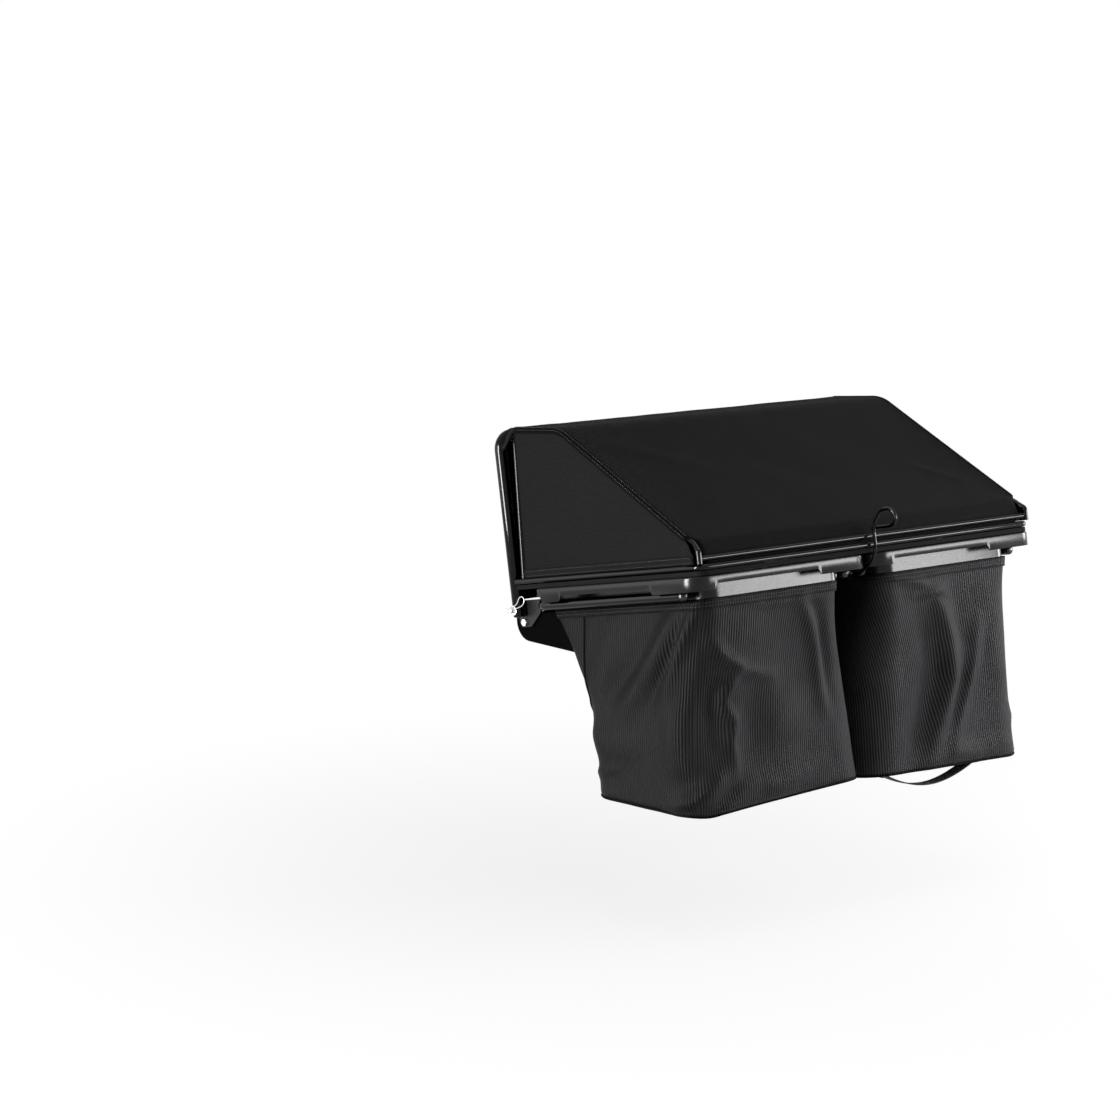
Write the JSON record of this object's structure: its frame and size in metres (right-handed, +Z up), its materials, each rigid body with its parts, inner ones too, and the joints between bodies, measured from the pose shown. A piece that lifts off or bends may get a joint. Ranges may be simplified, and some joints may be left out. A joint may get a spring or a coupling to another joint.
{
  "type": "mower bagger",
  "caption": "Grass collector for a ride-on mower: fabric hood over a tube frame, hinged at the front and latched by a wire hook, above a pair of fabric bags hung in moulded rims.",
  "frame": {"origin": "centre of the hitch plate's front face, which bolts to the mower's rear", "axes": "+X to the mower's right, +Y forward to the mower, +Z up; the frame's rear is carried 10.5 degrees higher than its hinges, and the bags hang plumb"},
  "size_m": [0.806, 0.6499, 0.6422],
  "materials": {
    "gloss_paint": "gloss black paint",
    "satin_paint": "satin black paint",
    "zinc": "bright zinc plate",
    "rim_plastic": "moulded, semi-gloss",
    "cap_plastic": "gloss",
    "apron_plastic": "matt",
    "seal_rubber": "matt",
    "hood_cloth": "woven",
    "side_cloth": "ribbed mesh",
    "piping": "bound edge",
    "bag_cloth": "ribbed",
    "webbing": "webbing"
  },
  "bodies": {
    "frame": {"hitch_plate": "satin_paint", "hitch_post": "satin_paint", "post_gusset_left": "satin_paint", "post_gusset_right": "satin_paint", "frame_crossbar": "satin_paint", "bag_rail_left": "gloss_paint", "bag_rail_right": "gloss_paint", "rail_end_cap_1": "cap_plastic", "rail_end_cap_2": "cap_plastic", "rail_end_cap_3": "cap_plastic", "rail_end_cap_4": "cap_plastic", "hinge_bracket_left": "satin_paint", "hinge_bracket_right": "satin_paint", "hinge_pin_left": "zinc", "hinge_pin_right": "zinc", "hinge_washer_left": "zinc", "hinge_washer_right": "zinc", "hinge_clip_left": "zinc", "hinge_clip_right": "zinc", "front_apron": "apron_plastic", "apron_bolt_left": "zinc", "apron_bolt_right": "zinc", "bag_rim_left": "rim_plastic", "bag_rim_right": "rim_plastic", "bag_left": "bag_cloth", "bag_right": "bag_cloth", "bag_strap_left": "webbing", "bag_strap_right": "webbing", "latch_pivot_bolt": "zinc", "latch_spacer_left": "cap_plastic", "latch_spacer_right": "cap_plastic"},
    "hood": {"hood_hoop": "gloss_paint", "hood_base_rail": "gloss_paint", "hood_rear_rail": "gloss_paint", "hood_side_rail_left": "gloss_paint", "hood_side_rail_right": "gloss_paint", "hood_front_rod_left": "gloss_paint", "hood_front_rod_right": "gloss_paint", "hood_cross_bow": "gloss_paint", "hood_seal": "seal_rubber", "cover_top_panel": "hood_cloth", "cover_side_panel_left": "side_cloth", "cover_side_panel_right": "side_cloth", "cover_piping_left": "piping", "cover_piping_right": "piping", "hood_front_panel": "apron_plastic", "chute_inlet_collar": "apron_plastic", "collar_screw_1": "zinc", "collar_screw_2": "zinc", "collar_screw_3": "zinc", "collar_screw_4": "zinc", "collar_screw_5": "zinc", "collar_screw_6": "zinc"},
    "latch": {"latch_rod": "gloss_paint"}
  },
  "joints": [
    {"name": "hood_lift", "type": "hinge", "parent": "frame", "child": "hood", "pos_m": [0, 0.00881, 0.145], "axis": [-1, 0, 0], "range_deg": [0, 65]},
    {"name": "latch_swing", "type": "hinge", "parent": "frame", "child": "latch", "pos_m": [0, -0.43274, 0.23192], "axis": [1, 0, 0], "range_deg": [0, 98]}
  ],
  "couplings": [
    {"joint": "latch_swing", "follows": "hood_lift", "ratio": 1.5}
  ]
}
